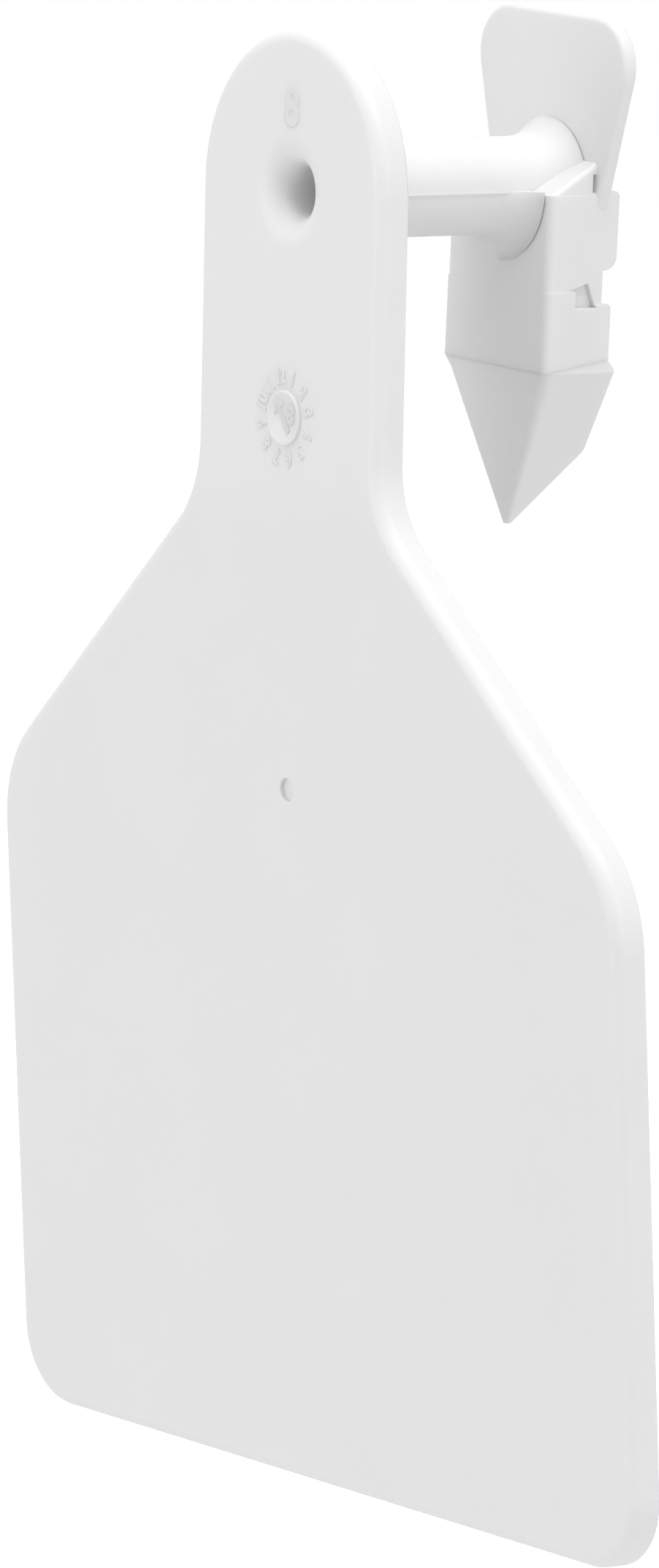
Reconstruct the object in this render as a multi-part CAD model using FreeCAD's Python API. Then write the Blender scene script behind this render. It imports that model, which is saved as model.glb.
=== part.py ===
"""One-piece livestock ear tag: a soft moulded panel on a neck, with a hollow stem behind the
neck that carries a cross-set toggle, and a hard piercing tip anchored in the toggle's foot.

Frame, in millimetres: the origin is on the stem's axis, in the plane of the neck's back face,
where the animal's ear bears. +X is across the panel, +Y runs back along the stem to the toggle,
and +Z is up towards the neck's rounded crown.
"""
import FreeCAD, Part
import math
import os

from FreeCAD import Vector

# Panel and neck: one flat moulding of even thickness, leaning back below the neck.
sheet_thickness = 2.4
neck_width = 22.1
crown_rise = 0.2            # centre of the rounded crown above the stem's axis
neck_length = 21.6          # stem's axis to the corner where the neck meets the shoulders
shoulder_drop = 22.6        # neck corner to panel side corner, measured down the panel
panel_width = 76.0
side_length = 47.6          # straight side of the panel, corner to corner
panel_lean = 3.7            # degrees that the panel leans back from the neck
bend_radius = 60.0          # front face of the sheet where it turns from neck to panel
neck_fillet = 7.5           # inside corner, neck to shoulder
shoulder_fillet = 9.5       # outside corner, shoulder to side
foot_fillet = 5.5           # bottom corners of the panel
front_edge_round = 0.9
back_edge_round = 0.2

# Gate mark left by the mould on the panel's front.
gate_offset = -0.8          # sideways from the middle of the panel
gate_drop = 20.5            # below the neck corner
gate_radius = 0.85
gate_depth = 0.3

# Stem with its needle bore: trumpet mouth at the front, blind end inside the toggle.
stem_radius = 3.45
bore_radius = 1.75
mouth_radius = 3.85
bore_end_wall = 3.0         # solid left behind the bore, up to the wing's back face
root_flare = 1.5            # radius of the flare on the back of the neck
ridge_width = 0.14          # witness ridge along the mould's parting plane
ridge_height = 0.1

# Toggle: block below the stem, flat wing above it, both set across the stem.
ear_gap = 15.6              # clear stem between neck and block
block_width = 12.1
block_depth = 5.5
block_top = -0.15           # top front edge of the block, at the mould's parting plane
block_edge_round = 0.7
foot_proud = 0.12           # how far the block's lower half stands out on each side
foot_top = -6.95            # top edge of that lower half
seam_front = -12.7          # where the soft block ends on the hard tip, at the front
seam_rise = 0.85            # how much higher the seam is at the back
lower_flare_radius = 5.3    # where the stem's lower half spreads on the block's front
lower_flare_length = 2.5
upper_flare_radius = 4.8    # where the stem's upper half spreads on the wing
upper_flare_length = 3.2

wing_setback = 3.9          # block front face to wing front face
wing_thickness = 1.15
wing_top = 12.3
wing_top_width = 19.3       # at the wing's top, before its corners are rounded
wing_root = -1.3            # height at which the wing has narrowed to the block's width
wing_corner = 3.5
wing_edge_round = 0.4

# Ramps beside the stem, from the block's top front edge up to the wing.
ramp_top = 2.1
ramp_inset = 0.15           # from the block's front and sides
ramp_edge_round = 0.35
slot_height = 1.3           # slot between each ramp's side and the wing
slot_depth = 0.45
slot_width = 0.28

# Back of the block: a rounded shoulder, then a notch across the back for the fitting tool.
shoulder_proud = 0.85       # shoulder behind the wing's back face
shoulder_top = 0.1
shoulder_top_round = 0.4
shoulder_foot_round = 1.0
notch_top = -5.5
notch_bottom = -7.85
notch_depth = 0.75          # below the block's back face
ledge_round = 0.35

# Side windows, where the tip's tongue shows beside the notch.
window_front = 2.0          # block front face to the window's front corner
window_step = 2.35          # to its lower front corner
window_peak = 3.5           # to its top corner
window_back = 4.25          # to its lower back corner
window_rise = 0.6           # top corner above the foot's top edge
window_drop = 1.15          # lower edge below the foot's top edge

# Piercing tip: hard arrowhead under the block, with a tongue moulded into the block.
point_z = -24.1
point_setback = 1.7         # block front face to the point
flange_proud = 0.57         # flange behind the block's back face
flange_drop = 0.66
back_break = -18.7          # where the tip's back face turns in towards the point
back_break_round = 0.8
band_height = 0.75          # bevelled band below the seam
band_inset = 0.14
tip_edge_round = 0.8        # front corners of the arrowhead
point_round = 0.3           # half width left at the point
tongue_inset = 0.45         # tongue's sides below the block's sides
tongue_setback = 1.6        # block front face to the tongue's front
tongue_thickness = 2.75
tongue_top = -6.2
tongue_slope = 0.75         # how far the tongue's front edge is lower than its back edge
lock_width = 3.2            # window in the tongue that the soft block fills
lock_height = 2.4
lock_middle = -9.6

# Set that the soft toggle has taken about the point where the stem meets the block.
toggle_twist = 2.25         # degrees about the stem's axis
toggle_yaw = 1.15           # degrees about the vertical

# Places worked out from the sizes above.
front_y = -sheet_thickness
block_front = ear_gap
block_back = block_front + block_depth
wing_front = block_front + wing_setback
wing_back = wing_front + wing_thickness
shoulder_back = wing_back + shoulder_proud
notch_floor = block_back - notch_depth
seam_back = seam_front + seam_rise
bore_end = wing_back - bore_end_wall
mouth_round = mouth_radius - bore_radius
foot_half_width = block_width / 2 + foot_proud
tongue_half_width = block_width / 2 - tongue_inset
across = Vector(1, 0, 0)
along = Vector(0, 1, 0)
up = Vector(0, 0, 1)


def rounded_wire(corners, to_point):
    """Closed wire through corners (a, b, radius), each rounded by a tangent arc."""
    points = [to_point(a, b) for a, b, _ in corners]
    arcs = []
    for i, (_, _, radius) in enumerate(corners):
        corner = points[i]
        back = (points[i - 1] - corner).normalize()
        ahead = (points[(i + 1) % len(points)] - corner).normalize()
        half_angle = back.getAngle(ahead) / 2
        reach = radius / math.tan(half_angle)
        middle = (back + ahead).normalize() * (radius / math.sin(half_angle) - radius)
        arcs.append((corner + back * reach, corner + middle, corner + ahead * reach))
    edges = []
    for i, (start, middle, end) in enumerate(arcs):
        if corners[i][2] > 0:
            edges.append(Part.Arc(start, middle, end).toShape())
        following = arcs[(i + 1) % len(arcs)][0]
        if end.distanceToPoint(following) > 1e-6:
            edges.append(Part.LineSegment(end, following).toShape())
    return Part.Wire(edges)


def side_prism(corners, half_width):
    """Solid of a side profile, corners (y, z, radius), standing half_width to each side."""
    wire = rounded_wire(corners, lambda y, z: Vector(-half_width, y, z))
    return Part.Face(wire).extrude(across * 2 * half_width)


def front_prism(right_corners, y_front, y_back):
    """Solid of a symmetric front outline, right-hand corners (x, z, radius) from top to bottom."""
    left_corners = [(-x, z, radius) for x, z, radius in reversed(right_corners)]
    wire = rounded_wire(right_corners + left_corners, lambda x, z: Vector(x, y_front, z))
    return Part.Face(wire).extrude(along * (y_back - y_front))


def stem_line(y1, r1, y2, r2):
    """Straight edge of a profile to be turned about the stem's axis."""
    return Part.LineSegment(Vector(0, y1, r1), Vector(0, y2, r2)).toShape()


def turned(profile_edges):
    """Solid turned about the stem's axis from a closed profile of edges."""
    return Part.Face(Part.Wire(profile_edges)).revolve(Vector(0, 0, 0), along, 360)


def edges_between(solid, wanted):
    """Edges for which wanted(middle point, normals of the two faces) is true."""
    found = []
    for edge in solid.Edges:
        faces = solid.ancestorsOfType(edge, Part.Face)
        if len(faces) != 2:
            continue
        middle = edge.valueAt((edge.FirstParameter + edge.LastParameter) / 2)
        normals = [face.normalAt(*face.Surface.parameter(middle)) for face in faces]
        if wanted(middle, normals):
            found.append(edge)
    return found


def seated(shape):
    """The shape with the toggle's own set: twisted about the stem and yawed a little."""
    placed = shape.copy()
    placed.rotate(Vector(0, block_front, 0), along, toggle_twist)
    placed.rotate(Vector(0, block_front, 0), up, toggle_yaw)
    return placed


def outline_prism():
    """Neck and panel outline, cut straight through the sheet."""
    neck = neck_width / 2
    side = panel_width / 2
    foreshortening = math.cos(math.radians(panel_lean))
    shoulder_z = -neck_length - shoulder_drop * foreshortening
    bottom_z = shoulder_z - side_length * foreshortening
    return front_prism([
        (neck, crown_rise + neck, neck),
        (neck, -neck_length, neck_fillet),
        (side, shoulder_z, shoulder_fillet),
        (side, bottom_z, foot_fillet),
    ], front_y - side_length, side_length)


def bent_sheet():
    """Sheet of even thickness, wider than the panel: flat at the neck, leaning below it."""
    lean = math.radians(panel_lean)
    top = crown_rise + neck_width
    reach = 2 * (shoulder_drop + side_length)
    foot_y = front_y + reach * math.sin(lean)
    foot_z = -neck_length - reach * math.cos(lean)
    back_bend_z = -neck_length + sheet_thickness * math.tan(lean / 2)
    return side_prism([
        (front_y, top, 0),
        (front_y, -neck_length, bend_radius),
        (foot_y, foot_z, 0),
        (foot_y + sheet_thickness * math.cos(lean), foot_z + sheet_thickness * math.sin(lean), 0),
        (0, back_bend_z, bend_radius - sheet_thickness),
        (0, top, 0),
    ], panel_width)


def gate_mark():
    """Round dimple in the panel's front, square to the panel."""
    start = Vector(gate_offset, front_y - gate_depth, -neck_length - gate_drop)
    dimple = Part.makeCylinder(gate_radius, 2 * gate_depth, start, along)
    dimple.rotate(Vector(0, front_y, -neck_length), across, panel_lean)
    return dimple


def paddle():
    """Neck and panel with softened edges."""
    def rim_facing(side):
        def wanted(middle, normals):
            facing = [normal.y * side for normal in normals]
            return max(facing) > 0.9 and min(abs(value) for value in facing) < 0.3
        return wanted

    plate = outline_prism().common(bent_sheet())
    plate = plate.makeFillet(front_edge_round, edges_between(plate, rim_facing(-1)))
    plate = plate.makeFillet(back_edge_round, edges_between(plate, rim_facing(1)))
    return plate.cut(gate_mark())


def flare(y_end, end_radius, length):
    """Trumpet that leaves the stem a signed length before y_end and spreads to end_radius."""
    spread = end_radius - stem_radius
    arc_radius = (length * length + spread * spread) / (2 * spread)
    half_turn = math.asin(length / arc_radius) / 2
    y_start = y_end - length
    middle = Vector(0, y_start + arc_radius * math.sin(half_turn),
                    stem_radius + arc_radius * (1 - math.cos(half_turn)))
    curve = Part.Arc(Vector(0, y_start, stem_radius), middle, Vector(0, y_end, end_radius))
    return turned([
        curve.toShape(),
        stem_line(y_end, end_radius, y_end, 0),
        stem_line(y_end, 0, y_start, 0),
        stem_line(y_start, 0, y_start, stem_radius),
    ])


def mould_half(low_z):
    """Box that takes in everything round the stem from low_z upwards."""
    size = 4 * wing_top
    return Part.makeBox(size, size, size, Vector(-size / 2, 0, low_z))


def stem():
    """Round stem with its flares and the witness ridges of the parting plane."""
    root_y = front_y / 2
    bar = Part.makeCylinder(stem_radius, wing_front - root_y, Vector(0, root_y, 0), along)
    root = flare(0, stem_radius + root_flare, -root_flare)
    lower = flare(block_front, lower_flare_radius, lower_flare_length).cut(mould_half(block_top))
    upper = flare(wing_front, upper_flare_radius, upper_flare_length).common(mould_half(block_top))
    ridge_half = stem_radius + ridge_height
    ridge = Part.makeBox(2 * ridge_half, block_front, ridge_width,
                         Vector(-ridge_half, 0, block_top - ridge_width))
    return bar.multiFuse([root, lower, upper, ridge])


def rounded_uprights(solid):
    """The solid with its two upright front edges rounded."""
    def is_upright(middle, normals):
        faces_front = any(normal.y < -0.9 for normal in normals)
        return faces_front and any(abs(normal.x) > 0.9 for normal in normals)
    return solid.makeFillet(block_edge_round, edges_between(solid, is_upright))


def block():
    """Block below the stem: rounded shoulder, tool notch and the proud lower half."""
    step_y = block_front + window_step
    below_ledge = [
        (notch_floor, notch_bottom, 0),
        (block_back, notch_bottom, ledge_round),
        (block_back, seam_back, 0),
        (block_front, seam_front, 0),
    ]
    upper = side_prism([
        (block_front, block_top, 0),
        (wing_front, block_top, 0),
        (wing_front, shoulder_top, 0),
        (shoulder_back, shoulder_top, shoulder_top_round),
        (shoulder_back, notch_top, shoulder_foot_round),
        (notch_floor, notch_top, 0),
    ] + below_ledge, block_width / 2)
    foot = side_prism([
        (block_front, foot_top, 0),
        (step_y, foot_top, 0),
        (step_y, foot_top - window_drop, 0),
    ] + below_ledge, foot_half_width)
    return rounded_uprights(upper).fuse(rounded_uprights(foot))


def wing():
    """Flat wing above the block, widest at the top, with rounded corners and edges."""
    def is_rim(middle, normals):
        above_root = middle.z > wing_root + wing_edge_round
        return above_root and any(abs(normal.y) > 0.9 for normal in normals)

    plate = front_prism([
        (wing_top_width / 2, wing_top, wing_corner),
        (block_width / 2, wing_root, 0),
    ], wing_front, wing_back)
    return plate.makeFillet(wing_edge_round, edges_between(plate, is_rim))


def ramps():
    """Gusset from the block's top front edge up to the wing, slotted beside the wing."""
    def is_ridge(middle, normals):
        slopes_up = any(0.5 < normal.z < 0.95 for normal in normals)
        return slopes_up and any(abs(normal.x) > 0.9 for normal in normals)

    half = block_width / 2 - ramp_inset
    front = block_front + ramp_inset
    low = block_top - ramp_inset
    gusset = side_prism([
        (front, low, 0),
        (front, block_top, 0),
        (wing_front, ramp_top, 0),
        (wing_front, low, 0),
    ], half)
    gusset = gusset.makeFillet(ramp_edge_round, edges_between(gusset, is_ridge))
    slot = Part.makeBox(2 * slot_depth, slot_width, slot_height,
                        Vector(half - slot_depth, wing_front - slot_width, block_top + ramp_inset))
    other_slot = slot.mirror(Vector(0, 0, 0), across)
    return gusset.cut([slot, other_slot])


def side_windows():
    """Pockets in both sides of the block, down to the sides of the tongue."""
    lower_z = foot_top - window_drop
    corners = [
        (block_front + window_front, foot_top + ramp_inset, 0),
        (block_front + window_peak, foot_top + window_rise, 0),
        (block_front + window_back, lower_z, 0),
        (block_front + window_step, lower_z, 0),
        (block_front + window_step, foot_top, 0),
    ]
    return side_prism(corners, block_width).cut(side_prism(corners, tongue_half_width))


def head_section(z, half_width, front, corner_round):
    """Level section of the arrowhead, rounded at its two front corners."""
    back = block_back + 2 * flange_proud
    return rounded_wire([
        (-half_width, back, 0),
        (-half_width, front, corner_round),
        (half_width, front, corner_round),
        (half_width, back, 0),
    ], lambda x, y: Vector(x, y, z))


def tip_head():
    """Arrowhead: sections that taper to the point, trimmed from the side."""
    band_share = band_height / (seam_front - point_z)
    band_half = foot_half_width * (1 - band_share) + point_round * band_share
    band_front = block_front + band_inset + point_setback * band_share
    point_y = block_front + point_setback
    arrow = Part.makeLoft([
        head_section(seam_back + band_height, foot_half_width, block_front, tip_edge_round),
        head_section(seam_front, foot_half_width, block_front, tip_edge_round),
        head_section(seam_front - band_height, band_half, band_front, tip_edge_round),
        head_section(point_z, point_round, point_y, 0.9 * point_round),
    ], True, True)
    flange_y = block_back + flange_proud
    side_view = side_prism([
        (block_front - block_depth, seam_front - seam_rise, 0),
        (block_back, seam_back, 0),
        (flange_y, seam_back - flange_drop, 0),
        (flange_y, back_break, back_break_round),
        (point_y + point_round, point_z, point_round),
        (block_front - block_depth, point_z, 0),
    ], block_width)
    return arrow.common(side_view)


def tongue():
    """Tongue of the tip inside the block, with a window that the soft block fills."""
    front = block_front + tongue_setback
    back = front + tongue_thickness
    plate = side_prism([
        (front, tongue_top - tongue_slope, 0),
        (block_front + window_peak, tongue_top, 0),
        (back, tongue_top, 0),
        (back, seam_back - flange_drop, 0),
        (front, seam_front - flange_drop, 0),
    ], tongue_half_width)
    lock = Part.makeBox(lock_width, 2 * tongue_thickness, lock_height,
                        Vector(-lock_width / 2, front - tongue_thickness / 2,
                               lock_middle - lock_height / 2))
    return plate.cut(lock)


def piercing_tip():
    """Hard tip: arrowhead and tongue in one."""
    return seated(tip_head().fuse(tongue()).removeSplitter())


def needle_bore():
    """Blind bore through the stem, opening as a trumpet on the front face."""
    outside = front_y - mouth_round
    throat = front_y + mouth_round
    lean = mouth_round * math.sin(math.pi / 4)
    curve = Part.Arc(Vector(0, front_y, mouth_radius),
                     Vector(0, throat - lean, mouth_radius - lean),
                     Vector(0, throat, bore_radius))
    return turned([
        stem_line(outside, 0, outside, mouth_radius),
        stem_line(outside, mouth_radius, front_y, mouth_radius),
        curve.toShape(),
        stem_line(throat, bore_radius, bore_end, bore_radius),
        stem_line(bore_end, bore_radius, bore_end, 0),
        stem_line(bore_end, 0, outside, 0),
    ])


def tag_body(tip):
    """The soft one-piece moulding: panel, neck, stem and toggle, with room for the tip's tongue."""
    toggle = seated(block().multiFuse([wing(), ramps()]).cut(side_windows()))
    return paddle().multiFuse([stem(), toggle]).cut([needle_bore(), tip]).removeSplitter()


def main():
    os.makedirs("parts", exist_ok=True)
    tip = piercing_tip()
    for name, shape in {"tag_body": tag_body(tip), "piercing_tip": tip}.items():
        print(name, len(shape.Solids), "solid", round(shape.Volume, 1), "mm3", shape.isValid())
        shape.Solids[0].exportStep("parts/%s.step" % name)


main()
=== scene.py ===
"""Looks of the livestock ear tag: soft white body, hard tip, raised date dial, plain studio."""
import math

import bmesh
import bpy
from mathutils import Matrix, Vector


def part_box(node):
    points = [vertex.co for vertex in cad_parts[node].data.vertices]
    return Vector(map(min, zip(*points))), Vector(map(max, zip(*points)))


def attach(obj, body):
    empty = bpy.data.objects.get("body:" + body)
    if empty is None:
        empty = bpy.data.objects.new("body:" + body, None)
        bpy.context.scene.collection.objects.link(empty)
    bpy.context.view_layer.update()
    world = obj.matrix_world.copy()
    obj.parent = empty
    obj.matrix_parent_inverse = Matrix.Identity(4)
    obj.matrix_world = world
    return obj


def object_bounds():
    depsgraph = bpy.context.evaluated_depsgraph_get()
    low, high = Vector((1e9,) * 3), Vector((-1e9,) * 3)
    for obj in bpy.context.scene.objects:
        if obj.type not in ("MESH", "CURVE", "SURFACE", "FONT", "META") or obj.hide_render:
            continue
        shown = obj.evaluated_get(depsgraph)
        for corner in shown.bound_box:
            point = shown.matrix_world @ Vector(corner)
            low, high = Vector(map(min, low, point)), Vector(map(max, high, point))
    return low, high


bl_info = {
    "name": "Livestock Ear Tag",
    "version": (1, 0, 0),
    "blender": (4, 5, 0),
    "location": "View3D > Sidebar > Ear Tag",
    "description": "Finishes a moulded livestock ear tag and sets up its plain studio",
    "category": "Object",
}

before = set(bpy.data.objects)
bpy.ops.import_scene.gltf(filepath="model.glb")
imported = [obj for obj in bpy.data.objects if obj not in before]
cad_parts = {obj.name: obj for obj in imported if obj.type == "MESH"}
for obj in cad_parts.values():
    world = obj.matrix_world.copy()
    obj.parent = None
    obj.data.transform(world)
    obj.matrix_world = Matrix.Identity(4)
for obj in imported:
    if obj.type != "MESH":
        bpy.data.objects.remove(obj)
tag_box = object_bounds()
body_low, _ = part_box("tag_body")

MM = 0.001
NECK_FRONT = body_low[1]
TAG_BOTTOM = body_low[2]
GATE_MARK = Vector((-0.8 * MM, 0.0, -42.0 * MM))
PLASTIC_IOR = 1.5
NUMERAL_TO_FONT = 1.3       # font size over the height of its numerals
NUMERAL_WIDTH = 0.85        # width of the dial's narrowed numerals over the font's own
FLOW_SHARE = 0.35           # height of the flow lines over that of the grain
SMOOTH_ANGLE = math.radians(35.0)


class BodyFinish(bpy.types.PropertyGroup):
    """Soft polyurethane of the tag's body."""

    color: bpy.props.FloatVectorProperty(
        name="Body Color", description="White of the soft polyurethane",
        subtype="COLOR", size=3, min=0.0, max=1.0, default=(0.80, 0.80, 0.80))
    roughness: bpy.props.FloatProperty(
        name="Roughness", description="Satin of the moulded skin",
        subtype="FACTOR", min=0.0, max=1.0, default=0.46)
    softness: bpy.props.FloatProperty(
        name="Softness", description="How much light passes through the soft plastic's skin",
        subtype="FACTOR", min=0.0, max=1.0, default=0.25)
    grain: bpy.props.FloatProperty(
        name="Grain", description="Depth of the spark-eroded mould texture",
        subtype="DISTANCE", unit="LENGTH", min=0.0, max=0.001, default=0.00002)


class TipFinish(bpy.types.PropertyGroup):
    """Hard, slightly translucent plastic of the piercing tip."""

    color: bpy.props.FloatVectorProperty(
        name="Tip Color", description="Grey white of the hard tip",
        subtype="COLOR", size=3, min=0.0, max=1.0, default=(0.83, 0.83, 0.83))
    roughness: bpy.props.FloatProperty(
        name="Roughness", description="Polish of the tip",
        subtype="FACTOR", min=0.0, max=1.0, default=0.32)
    depth: bpy.props.FloatProperty(
        name="Translucency", description="How much light passes into the tip",
        subtype="FACTOR", min=0.0, max=1.0, default=0.3)


class DialSizes(bpy.types.PropertyGroup):
    """Raised date dial on the neck."""

    drop: bpy.props.FloatProperty(
        name="Drop", description="Dial centre below the stem's axis",
        subtype="DISTANCE", unit="LENGTH", default=15.78 * MM)
    offset: bpy.props.FloatProperty(
        name="Offset", description="Dial centre sideways from the middle",
        subtype="DISTANCE", unit="LENGTH", default=0.0)
    disc_radius: bpy.props.FloatProperty(
        name="Disc Radius", description="Raised disc that carries the arrow",
        subtype="DISTANCE", unit="LENGTH", default=1.93 * MM)
    disc_height: bpy.props.FloatProperty(
        name="Disc Height", description="How far the disc stands out of the neck",
        subtype="DISTANCE", unit="LENGTH", default=0.16 * MM)
    disc_lip: bpy.props.FloatProperty(
        name="Disc Lip", description="How far the disc's rim stands above its floor",
        subtype="DISTANCE", unit="LENGTH", default=0.05 * MM)
    digit_radius: bpy.props.FloatProperty(
        name="Digit Radius", description="Middle of the ring of numbers",
        subtype="DISTANCE", unit="LENGTH", default=2.87 * MM)
    digit_size: bpy.props.FloatProperty(
        name="Digit Size", description="Height of each number",
        subtype="DISTANCE", unit="LENGTH", default=1.15 * MM)
    digit_height: bpy.props.FloatProperty(
        name="Digit Height", description="How far the numbers stand out of the neck",
        subtype="DISTANCE", unit="LENGTH", default=0.08 * MM)
    digit_spread: bpy.props.FloatProperty(
        name="Digit Spread", description="How far the numbers' strokes swell to each side",
        subtype="DISTANCE", unit="LENGTH", default=0.14 * MM)
    year_size: bpy.props.FloatProperty(
        name="Year Size", description="Height of the number on the disc",
        subtype="DISTANCE", unit="LENGTH", default=1.725 * MM / NUMERAL_TO_FONT)
    turn: bpy.props.FloatProperty(
        name="Turn", description="Turn of the whole dial, seen from the front",
        subtype="ANGLE", unit="ROTATION", default=math.radians(12.0))
    arrow_turn: bpy.props.FloatProperty(
        name="Arrow Turn", description="Direction of the arrow, seen from the front",
        subtype="ANGLE", unit="ROTATION", default=math.radians(37.0))


class CavitySizes(bpy.types.PropertyGroup):
    """Raised cavity number above the bore."""

    rise: bpy.props.FloatProperty(
        name="Rise", description="Number's centre above the stem's axis",
        subtype="DISTANCE", unit="LENGTH", default=5.7 * MM)
    offset: bpy.props.FloatProperty(
        name="Offset", description="Number's centre sideways from the middle",
        subtype="DISTANCE", unit="LENGTH", default=0.1 * MM)
    size: bpy.props.FloatProperty(
        name="Size", description="Height of the number",
        subtype="DISTANCE", unit="LENGTH", default=3.8 * MM / NUMERAL_TO_FONT)
    height: bpy.props.FloatProperty(
        name="Height", description="How far the number stands out of the neck",
        subtype="DISTANCE", unit="LENGTH", default=0.06 * MM)
    spread: bpy.props.FloatProperty(
        name="Spread", description="How far the number's strokes swell to each side",
        subtype="DISTANCE", unit="LENGTH", default=0.15 * MM)


class StudioSettings(bpy.types.PropertyGroup):
    """Camera, plain soft studio light and pale floor."""

    azimuth: bpy.props.FloatProperty(
        name="Azimuth", description="Camera direction round the tag, from its front",
        subtype="ANGLE", unit="ROTATION", default=math.radians(55.254))
    elevation: bpy.props.FloatProperty(
        name="Elevation", description="Camera height angle",
        subtype="ANGLE", unit="ROTATION", default=math.radians(7.527))
    roll: bpy.props.FloatProperty(
        name="Roll", description="Camera roll",
        subtype="ANGLE", unit="ROTATION", default=math.radians(1.207))
    distance: bpy.props.FloatProperty(
        name="Distance", description="Camera to aim point",
        subtype="DISTANCE", unit="LENGTH", default=0.69216)
    aim: bpy.props.FloatVectorProperty(
        name="Aim", description="Point that the camera looks at",
        subtype="XYZ", unit="LENGTH", size=3, default=(0.00651, -0.00249, -0.04067))
    lens: bpy.props.FloatProperty(
        name="Lens", description="Focal length in millimetres",
        unit="CAMERA", min=1.0, default=229.27)
    ambient: bpy.props.FloatProperty(
        name="Ambient", description="Even light from the whole room",
        subtype="FACTOR", min=0.0, max=4.0, default=0.5)
    key_light: bpy.props.FloatProperty(
        name="Key Light", description="Low softbox at the front left, in watts",
        min=0.0, default=1.58)
    top_light: bpy.props.FloatProperty(
        name="Top Light", description="High softbox on the right, in watts",
        min=0.0, default=3.31)
    front_light: bpy.props.FloatProperty(
        name="Front Light", description="High softbox at the front, in watts",
        min=0.0, default=1.14)
    side_light: bpy.props.FloatProperty(
        name="Side Light", description="Low softbox on the right, in watts",
        min=0.0, default=0.89)
    softbox: bpy.props.FloatProperty(
        name="Softbox", description="Side of each square softbox",
        subtype="DISTANCE", unit="LENGTH", min=0.01, default=0.5)
    reach: bpy.props.FloatProperty(
        name="Reach", description="Softboxes to the tag",
        subtype="DISTANCE", unit="LENGTH", min=0.1, default=0.8)
    floor_gap: bpy.props.FloatProperty(
        name="Floor Gap", description="Floor below the tag's lowest point",
        subtype="DISTANCE", unit="LENGTH", min=0.0, default=0.06)
    floor_size: bpy.props.FloatProperty(
        name="Floor Size", description="Side of the square floor",
        subtype="DISTANCE", unit="LENGTH", min=0.1, default=3.0)
    floor_tone: bpy.props.FloatProperty(
        name="Floor Tone", description="How much light the matt floor gives back",
        subtype="FACTOR", min=0.0, max=1.0, default=0.85)
    floor_glow: bpy.props.FloatProperty(
        name="Floor Glow", description="Light that the camera sees on top of the floor's own",
        subtype="FACTOR", min=0.0, max=1.0, default=0.6)


class EarTagSettings(bpy.types.PropertyGroup):
    """All settings of the ear tag."""

    body: bpy.props.PointerProperty(type=BodyFinish, name="Body", description="Soft body finish")
    tip: bpy.props.PointerProperty(type=TipFinish, name="Tip", description="Hard tip finish")
    dial: bpy.props.PointerProperty(type=DialSizes, name="Dial", description="Raised date dial")
    cavity: bpy.props.PointerProperty(
        type=CavitySizes, name="Cavity", description="Raised cavity number")
    studio: bpy.props.PointerProperty(
        type=StudioSettings, name="Studio", description="Camera, light and floor")


def settings():
    """The add-on's settings on the scene."""
    return bpy.context.scene.ear_tag


# ---- shader node helpers -------------------------------------------------------------------

def add_node(tree, kind, **values):
    """A node of the given kind with named attributes and input values set."""
    node = tree.nodes.new(kind)
    for name, value in values.items():
        if hasattr(node, name):
            setattr(node, name, value)
        else:
            node.inputs[name.replace("_", " ")].default_value = value
    return node


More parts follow.
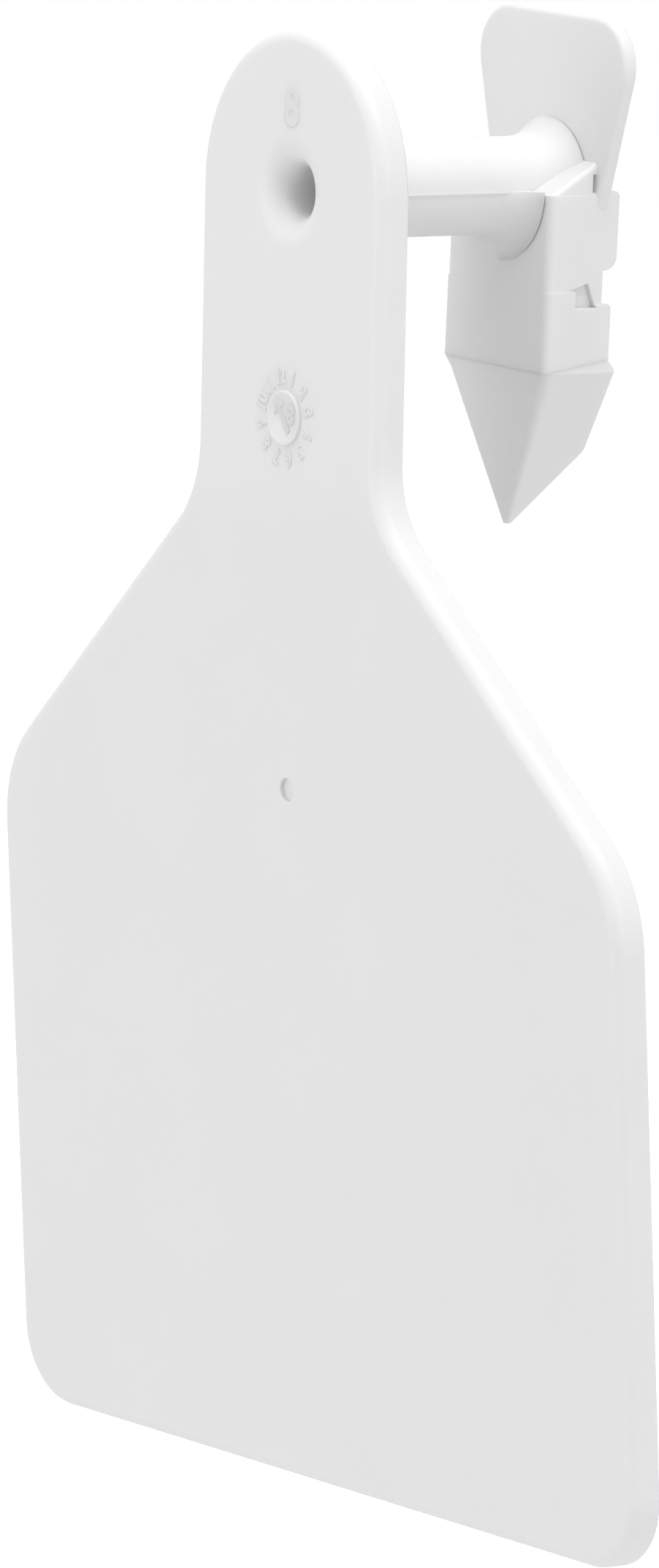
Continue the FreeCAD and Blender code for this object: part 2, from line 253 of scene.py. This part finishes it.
def moulded_skin_group():
    """Cloudy tone, satin variation and fine grain shared by both moulded plastics."""
    found = bpy.data.node_groups.get("Moulded Skin")
    if found:
        return found
    group = bpy.data.node_groups.new("Moulded Skin", "ShaderNodeTree")
    sockets = group.interface
    sockets.new_socket("Color", in_out="INPUT", socket_type="NodeSocketColor")
    sockets.new_socket("Clouding", in_out="INPUT", socket_type="NodeSocketFloat")
    sockets.new_socket("Roughness", in_out="INPUT", socket_type="NodeSocketFloat")
    sockets.new_socket("Grain Size", in_out="INPUT", socket_type="NodeSocketFloat")
    sockets.new_socket("Color", in_out="OUTPUT", socket_type="NodeSocketColor")
    sockets.new_socket("Roughness", in_out="OUTPUT", socket_type="NodeSocketFloat")
    sockets.new_socket("Height", in_out="OUTPUT", socket_type="NodeSocketFloat")
    inside = group.nodes.new("NodeGroupInput")
    out = group.nodes.new("NodeGroupOutput")
    link = group.links.new
    place = add_node(group, "ShaderNodeTexCoord")

    clouds = add_node(group, "ShaderNodeTexNoise", Scale=90.0, Detail=3.0, Roughness=0.5)
    link(place.outputs["Object"], clouds.inputs["Vector"])
    centred = add_node(group, "ShaderNodeMath", operation="SUBTRACT")
    link(clouds.outputs["Fac"], centred.inputs[0])
    centred.inputs[1].default_value = 0.5
    amount = add_node(group, "ShaderNodeMath", operation="MULTIPLY")
    link(centred.outputs[0], amount.inputs[0])
    link(inside.outputs["Clouding"], amount.inputs[1])
    gain = add_node(group, "ShaderNodeMath", operation="ADD")
    link(amount.outputs[0], gain.inputs[0])
    gain.inputs[1].default_value = 1.0
    tint = add_node(group, "ShaderNodeVectorMath", operation="SCALE")
    link(inside.outputs["Color"], tint.inputs[0])
    link(gain.outputs[0], tint.inputs["Scale"])
    link(tint.outputs[0], out.inputs["Color"])

    satin = add_node(group, "ShaderNodeTexNoise", Scale=260.0, Detail=2.0)
    link(place.outputs["Object"], satin.inputs["Vector"])
    spread = add_node(group, "ShaderNodeMapRange", From_Min=0.3, From_Max=0.7,
                      To_Min=-0.04, To_Max=0.04)
    link(satin.outputs["Fac"], spread.inputs["Value"])
    rough = add_node(group, "ShaderNodeMath", operation="ADD")
    link(inside.outputs["Roughness"], rough.inputs[0])
    link(spread.outputs[0], rough.inputs[1])
    link(rough.outputs[0], out.inputs["Roughness"])

    grain = add_node(group, "ShaderNodeTexNoise", Detail=4.0, Roughness=0.6)
    link(place.outputs["Object"], grain.inputs["Vector"])
    link(inside.outputs["Grain Size"], grain.inputs["Scale"])
    link(grain.outputs["Fac"], out.inputs["Height"])
    return group


def new_material(name):
    """An empty node material and its shader."""
    material = bpy.data.materials.new(name)
    material.use_nodes = True
    tree = material.node_tree
    tree.nodes.clear()
    shader = tree.nodes.new("ShaderNodeBsdfPrincipled")
    output = tree.nodes.new("ShaderNodeOutputMaterial")
    tree.links.new(shader.outputs["BSDF"], output.inputs["Surface"])
    return material, tree, shader


def add_skin(tree, shader, finish, clouding, grain_scale):
    """The skin group wired to the shader's color and roughness."""
    skin = add_node(tree, "ShaderNodeGroup", node_tree=moulded_skin_group())
    skin.inputs["Color"].default_value = (*finish.color, 1.0)
    skin.inputs["Clouding"].default_value = clouding
    skin.inputs["Roughness"].default_value = finish.roughness
    skin.inputs["Grain Size"].default_value = grain_scale
    tree.links.new(skin.outputs["Color"], shader.inputs["Base Color"])
    tree.links.new(skin.outputs["Roughness"], shader.inputs["Roughness"])
    return skin


def add_bump(tree, shader, height, strength, depth):
    """Relief of the given depth on the shader's normal, from a height socket."""
    bump = add_node(tree, "ShaderNodeBump", Strength=strength, Distance=depth)
    tree.links.new(height, bump.inputs["Height"])
    tree.links.new(bump.outputs["Normal"], shader.inputs["Normal"])


def set_depth(shader, weight, distance):
    """Colorless light that passes into the plastic, scattered over a distance."""
    shader.inputs["IOR"].default_value = PLASTIC_IOR
    shader.inputs["Subsurface Weight"].default_value = weight
    shader.inputs["Subsurface Radius"].default_value = (1.0, 1.0, 1.0)
    shader.inputs["Subsurface Scale"].default_value = distance


def soft_polyurethane():
    """White soft polyurethane: satin skin, faint flow lines round the gate, light in its depth."""
    found = bpy.data.materials.get("soft_polyurethane_skin")
    if found:
        return found
    finish = settings().body
    material, tree, shader = new_material("soft_polyurethane_skin")
    link = tree.links.new
    skin = add_skin(tree, shader, finish, clouding=0.035, grain_scale=2600.0)
    place = add_node(tree, "ShaderNodeTexCoord")
    gate = add_node(tree, "ShaderNodeMapping")
    gate.inputs["Location"].default_value = -GATE_MARK
    link(place.outputs["Object"], gate.inputs["Vector"])
    flow = add_node(tree, "ShaderNodeTexWave", wave_type="RINGS", rings_direction="SPHERICAL",
                    Scale=45.0, Distortion=3.0, Detail=2.0, Detail_Scale=1.5)
    link(gate.outputs["Vector"], flow.inputs["Vector"])
    mixed = add_node(tree, "ShaderNodeMath", operation="MULTIPLY_ADD")
    link(flow.outputs["Fac"], mixed.inputs[0])
    mixed.inputs[1].default_value = FLOW_SHARE
    link(skin.outputs["Height"], mixed.inputs[2])
    add_bump(tree, shader, mixed.outputs[0], strength=0.35, depth=finish.grain)
    shader.inputs["Specular IOR Level"].default_value = 0.35
    set_depth(shader, finish.softness, 1.2 * MM)
    return material


def hard_tip_plastic():
    """Greyer hard plastic with light passing into it, polished by the mould."""
    found = bpy.data.materials.get("hard_tip_plastic_skin")
    if found:
        return found
    finish = settings().tip
    material, tree, shader = new_material("hard_tip_plastic_skin")
    skin = add_skin(tree, shader, finish, clouding=0.10, grain_scale=1400.0)
    add_bump(tree, shader, skin.outputs["Height"], strength=0.2, depth=0.02 * MM)
    set_depth(shader, finish.depth, 0.8 * MM)
    return material


# ---- mesh helpers --------------------------------------------------------------------------

def on_neck(x, z):
    """Matrix that stands a flat drawing on the neck's front, its local Z facing forward."""
    turn = Matrix(((1, 0, 0), (0, 0, -1), (0, 1, 0))).to_4x4()
    return Matrix.Translation(Vector((x, NECK_FRONT, z))) @ turn


def raised_text(text, size, spread, height, placement):
    """Mesh of a raised number whose strokes swell by spread, standing on placement's local XY."""
    curve = bpy.data.curves.new("number", "FONT")
    curve.body = text
    curve.size = size * NUMERAL_TO_FONT
    curve.align_x = "CENTER"
    curve.align_y = "CENTER"
    curve.resolution_u = 6
    curve.bevel_depth = spread
    curve.bevel_resolution = 4
    carrier = bpy.data.objects.new("number", curve)
    graph = bpy.context.evaluated_depsgraph_get()
    mesh = bpy.data.meshes.new_from_object(carrier, depsgraph=graph)
    flattened = Matrix.Diagonal((1, 1, 2 * height / spread, 1))
    half_sunk = Matrix.Translation((0, 0, -height)) @ flattened
    mesh.transform(placement @ half_sunk)
    bpy.data.objects.remove(carrier)
    bpy.data.curves.remove(curve)
    return mesh


def join_meshes(name, meshes):
    """One object from several meshes."""
    builder = bmesh.new()
    for mesh in meshes:
        builder.from_mesh(mesh)
        bpy.data.meshes.remove(mesh)
    joined = bpy.data.meshes.new(name)
    builder.to_mesh(joined)
    builder.free()
    piece = bpy.data.objects.new(name, joined)
    bpy.context.scene.collection.objects.link(piece)
    return piece


def rim_profile(radius, height, rim, lip):
    """Points (radius, height) from the disc's buried foot over its rim down to its floor."""
    foot = [(radius + rim * 0.6, -height * 0.5), (radius + rim * 0.2, height * 0.25)]
    crest = []
    arc_steps = 4
    for i in range(arc_steps + 1):
        angle = math.radians(90 * i / arc_steps)
        crest.append((radius - rim * (1 - math.cos(angle)),
                      height + lip - rim * (1 - math.sin(angle))))
    inner_slope = [(radius - rim * 1.6, height + lip * 0.9), (radius - rim * 2.4, height)]
    return foot + crest + inner_slope


def low_disc(profile, placement):
    """Mesh of a low round disc turned from its rim's profile, open at its hidden back."""
    builder = bmesh.new()
    around = 96
    rings = []
    for r, z in profile:
        ring = []
        for k in range(around):
            angle = 2 * math.pi * k / around
            ring.append(builder.verts.new((r * math.cos(angle), r * math.sin(angle), z)))
        rings.append(ring)
    for lower, upper in zip(rings, rings[1:]):
        for k in range(around):
            following = (k + 1) % around
            builder.faces.new((lower[k], lower[following], upper[following], upper[k]))
    builder.faces.new(rings[-1])
    mesh = bpy.data.meshes.new("disc")
    builder.to_mesh(mesh)
    builder.free()
    mesh.transform(placement)
    return mesh


def raised_outline(points, height, placement):
    """Mesh of a flat raised shape with softened edges, from its outline points."""
    builder = bmesh.new()
    base = [builder.verts.new((x, y, 0)) for x, y in points]
    face = builder.faces.new(base)
    extruded = bmesh.ops.extrude_face_region(builder, geom=[face])
    tops = [v for v in extruded["geom"] if isinstance(v, bmesh.types.BMVert)]
    for vert in tops:
        vert.co.z += height
    rim = [e for e in builder.edges if all(v.co.z > height * 0.5 for v in e.verts)]
    uprights = [e for e in builder.edges if abs(e.verts[0].co.z - e.verts[1].co.z) > height * 0.5]
    bmesh.ops.bevel(builder, geom=rim + uprights, offset=height * 0.45, segments=3,
                    affect="EDGES", profile=0.5)
    bmesh.ops.recalc_face_normals(builder, faces=builder.faces)
    mesh = bpy.data.meshes.new("outline")
    builder.to_mesh(mesh)
    builder.free()
    mesh.transform(placement)
    return mesh


def finish_piece(piece):
    """Soft body's material, smooth shading and body of a new piece."""
    piece.data.materials.clear()
    piece.data.materials.append(soft_polyurethane())
    piece.data.shade_smooth()
    piece.data.set_sharp_from_angle(angle=SMOOTH_ANGLE)
    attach(piece, "root")


def dress_node(node, material):
    """Gives a carried-over node its material."""
    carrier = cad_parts[node]
    for slot in carrier.material_slots:
        slot.material = material


# ---- pieces --------------------------------------------------------------------------------

class EARTAG_OT_tag_body(bpy.types.Operator):
    """Give the soft moulded body its finish"""

    bl_idname = "eartag.tag_body"
    bl_label = "Soft Body"

    def execute(self, context):
        dress_node("tag_body", soft_polyurethane())
        return {"FINISHED"}


class EARTAG_OT_piercing_tip(bpy.types.Operator):
    """Give the hard piercing tip its finish"""

    bl_idname = "eartag.piercing_tip"
    bl_label = "Piercing Tip"

    def execute(self, context):
        dress_node("piercing_tip", hard_tip_plastic())
        return {"FINISHED"}


def month_numbers(dial, centre):
    """Numbers 1 to 12 round the disc, each standing with its foot towards the middle."""
    out = Matrix.Translation((0, dial.digit_radius, 0))
    narrowed = Matrix.Diagonal((NUMERAL_WIDTH, 1.0, 1.0, 1.0))
    numbers = []
    for month in range(1, 13):
        swing = Matrix.Rotation(dial.turn - math.radians(30 * month), 4, "Z")
        numbers.append(raised_text(str(month), dial.digit_size, dial.digit_spread,
                                   dial.digit_height, centre @ swing @ out @ narrowed))
    return numbers


def arrow_outline(reach):
    """Arrow's outline from its tail, inside a disc of the given radius."""
    shaft = 0.12 * reach
    head = 0.39 * reach
    tail = -0.62 * reach
    neck = 0.38 * reach
    return [(-shaft, tail), (shaft, tail), (shaft, neck), (head, neck),
            (0, 0.86 * reach), (-head, neck), (-shaft, neck)]


class EARTAG_OT_date_dial(bpy.types.Operator):
    """Raise the mould's date dial on the neck: months round a disc with an arrow"""

    bl_idname = "eartag.date_dial"
    bl_label = "Date Dial"

    def execute(self, context):
        dial = settings().dial
        centre = on_neck(dial.offset, -dial.drop)
        finish_piece(join_meshes("date_numbers", month_numbers(dial, centre)))

        reach = dial.disc_radius
        rim = dial.disc_height * 0.6
        disc = low_disc(rim_profile(reach, dial.disc_height, rim, dial.disc_lip), centre)
        seat_height = dial.disc_height * 0.9
        seat = centre @ Matrix.Translation((0, 0, seat_height))
        swing = Matrix.Rotation(dial.arrow_turn, 4, "Z")
        arrow = raised_outline(arrow_outline(reach), dial.digit_height, seat @ swing)
        year_place = seat @ Matrix.Translation((0.46 * reach, 0.09 * reach, 0))
        year = raised_text("8", dial.year_size, dial.digit_spread, dial.digit_height, year_place)
        finish_piece(join_meshes("date_disc", [disc, arrow, year]))
        return {"FINISHED"}


class EARTAG_OT_cavity_number(bpy.types.Operator):
    """Raise a plain cavity number above the bore"""

    bl_idname = "eartag.cavity_number"
    bl_label = "Cavity Number"

    def execute(self, context):
        cavity = settings().cavity
        place = on_neck(cavity.offset, cavity.rise)
        number = raised_text("8", cavity.size, cavity.spread, cavity.height, place)
        finish_piece(join_meshes("cavity_number", [number]))
        return {"FINISHED"}


# ---- stage ---------------------------------------------------------------------------------

def floor_material(tone, glow):
    """Matt studio surface that reads white to the camera and keeps a soft shadow."""
    material = bpy.data.materials.new("pale_floor")
    material.use_nodes = True
    tree = material.node_tree
    tree.nodes.clear()
    link = tree.links.new
    matt = add_node(tree, "ShaderNodeBsdfDiffuse", Color=(tone, tone, tone, 1.0))
    light = add_node(tree, "ShaderNodeEmission", Color=(1.0, 1.0, 1.0, 1.0))
    path = add_node(tree, "ShaderNodeLightPath")
    lit = add_node(tree, "ShaderNodeMath", operation="MULTIPLY")
    link(path.outputs["Is Camera Ray"], lit.inputs[0])
    lit.inputs[1].default_value = glow
    link(lit.outputs[0], light.inputs["Strength"])
    both = add_node(tree, "ShaderNodeAddShader")
    link(matt.outputs[0], both.inputs[0])
    link(light.outputs[0], both.inputs[1])
    output = tree.nodes.new("ShaderNodeOutputMaterial")
    link(both.outputs[0], output.inputs["Surface"])
    return material


def studio_world(studio):
    """Even room light, seen as white by the camera and in reflections."""
    world = bpy.data.worlds.new("studio")
    world.use_nodes = True
    tree = world.node_tree
    tree.nodes.clear()
    link = tree.links.new
    path = add_node(tree, "ShaderNodeLightPath")
    mirrored = add_node(tree, "ShaderNodeMath", operation="MAXIMUM")
    link(path.outputs["Is Glossy Ray"], mirrored.inputs[0])
    link(path.outputs["Is Transmission Ray"], mirrored.inputs[1])
    seen = add_node(tree, "ShaderNodeMath", operation="MAXIMUM")
    link(path.outputs["Is Camera Ray"], seen.inputs[0])
    link(mirrored.outputs[0], seen.inputs[1])
    strength = add_node(tree, "ShaderNodeMapRange", To_Min=studio.ambient, To_Max=1.0)
    link(seen.outputs[0], strength.inputs["Value"])
    back = add_node(tree, "ShaderNodeBackground", Color=(1.0, 1.0, 1.0, 1.0))
    link(strength.outputs[0], back.inputs["Strength"])
    output = tree.nodes.new("ShaderNodeOutputWorld")
    link(back.outputs[0], output.inputs["Surface"])
    bpy.context.scene.world = world


def direction(azimuth, elevation):
    """Unit vector from the tag, with azimuth 0 at its front and rising towards its right."""
    return Vector((math.sin(azimuth) * math.cos(elevation),
                   -math.cos(azimuth) * math.cos(elevation), math.sin(elevation)))


def add_softbox(name, studio, azimuth, elevation, power):
    """Square softbox that faces the middle of the tag, from a direction in degrees."""
    lamp = bpy.data.lights.new(name, "AREA")
    lamp.shape = "SQUARE"
    lamp.size = studio.softbox
    lamp.energy = power
    towards = direction(math.radians(azimuth), math.radians(elevation))
    carrier = bpy.data.objects.new(name, lamp)
    carrier.location = (tag_box[0] + tag_box[1]) / 2 + towards * studio.reach
    carrier.rotation_euler = towards.to_track_quat("Z", "Y").to_euler()
    bpy.context.scene.collection.objects.link(carrier)


def add_camera(studio):
    """Long-lens camera at the studio's viewing angle."""
    azimuth, elevation, roll = studio.azimuth, studio.elevation, studio.roll
    back = direction(azimuth, elevation)
    level = Vector((math.cos(azimuth), math.sin(azimuth), 0))
    upright = back.cross(level)
    right = level * math.cos(roll) + upright * math.sin(roll)
    top = upright * math.cos(roll) - level * math.sin(roll)
    camera = bpy.data.cameras.new("camera")
    camera.lens = studio.lens
    camera.clip_end = 20.0
    carrier = bpy.data.objects.new("camera", camera)
    turn = Matrix((right, top, back)).transposed().to_4x4()
    carrier.matrix_world = Matrix.Translation(Vector(studio.aim) + back * studio.distance) @ turn
    bpy.context.scene.collection.objects.link(carrier)
    bpy.context.scene.camera = carrier


def add_floor(studio):
    """Square pale floor below the tag."""
    half = studio.floor_size / 2
    z = TAG_BOTTOM - studio.floor_gap
    mesh = bpy.data.meshes.new("floor")
    mesh.from_pydata([(-half, -half, z), (half, -half, z), (half, half, z), (-half, half, z)],
                     [], [(0, 1, 2, 3)])
    mesh.materials.append(floor_material(studio.floor_tone, studio.floor_glow))
    floor = bpy.data.objects.new("floor", mesh)
    bpy.context.scene.collection.objects.link(floor)


class EARTAG_OT_studio(bpy.types.Operator):
    """Set the camera, the soft light and the pale floor"""

    bl_idname = "eartag.studio"
    bl_label = "Studio"

    def execute(self, context):
        studio = settings().studio
        context.scene.view_settings.view_transform = "Standard"
        studio_world(studio)
        add_camera(studio)
        add_floor(studio)
        add_softbox("key_softbox", studio, -30.0, 10.0, studio.key_light)
        add_softbox("top_softbox", studio, 90.0, 70.0, studio.top_light)
        add_softbox("front_softbox", studio, 0.0, 70.0, studio.front_light)
        add_softbox("side_softbox", studio, 90.0, 10.0, studio.side_light)
        return {"FINISHED"}


class EARTAG_PT_panel(bpy.types.Panel):
    """Sidebar panel of the ear tag's pieces"""

    bl_label = "Ear Tag"
    bl_idname = "EARTAG_PT_panel"
    bl_space_type = "VIEW_3D"
    bl_region_type = "UI"
    bl_category = "Ear Tag"

    def draw(self, context):
        layout = self.layout
        ear_tag = context.scene.ear_tag
        for operator in OPERATORS:
            layout.operator(operator.bl_idname)
        for group in (ear_tag.body, ear_tag.tip, ear_tag.dial, ear_tag.cavity, ear_tag.studio):
            box = layout.box()
            for name in group.bl_rna.properties.keys():
                if name not in {"rna_type", "name"}:
                    box.prop(group, name)


OPERATORS = (
    EARTAG_OT_tag_body,
    EARTAG_OT_piercing_tip,
    EARTAG_OT_date_dial,
    EARTAG_OT_cavity_number,
    EARTAG_OT_studio,
)
CLASSES = (BodyFinish, TipFinish, DialSizes, CavitySizes, StudioSettings, EarTagSettings,
           *OPERATORS, EARTAG_PT_panel)


def register():
    for kind in CLASSES:
        bpy.utils.register_class(kind)
    bpy.types.Scene.ear_tag = bpy.props.PointerProperty(type=EarTagSettings)


def unregister():
    del bpy.types.Scene.ear_tag
    for kind in reversed(CLASSES):
        bpy.utils.unregister_class(kind)


def main():
    register()
    bpy.ops.eartag.tag_body()
    bpy.ops.eartag.piercing_tip()
    bpy.ops.eartag.date_dial()
    bpy.ops.eartag.cavity_number()
    bpy.ops.eartag.studio()


if __name__ == "__main__":
    main()
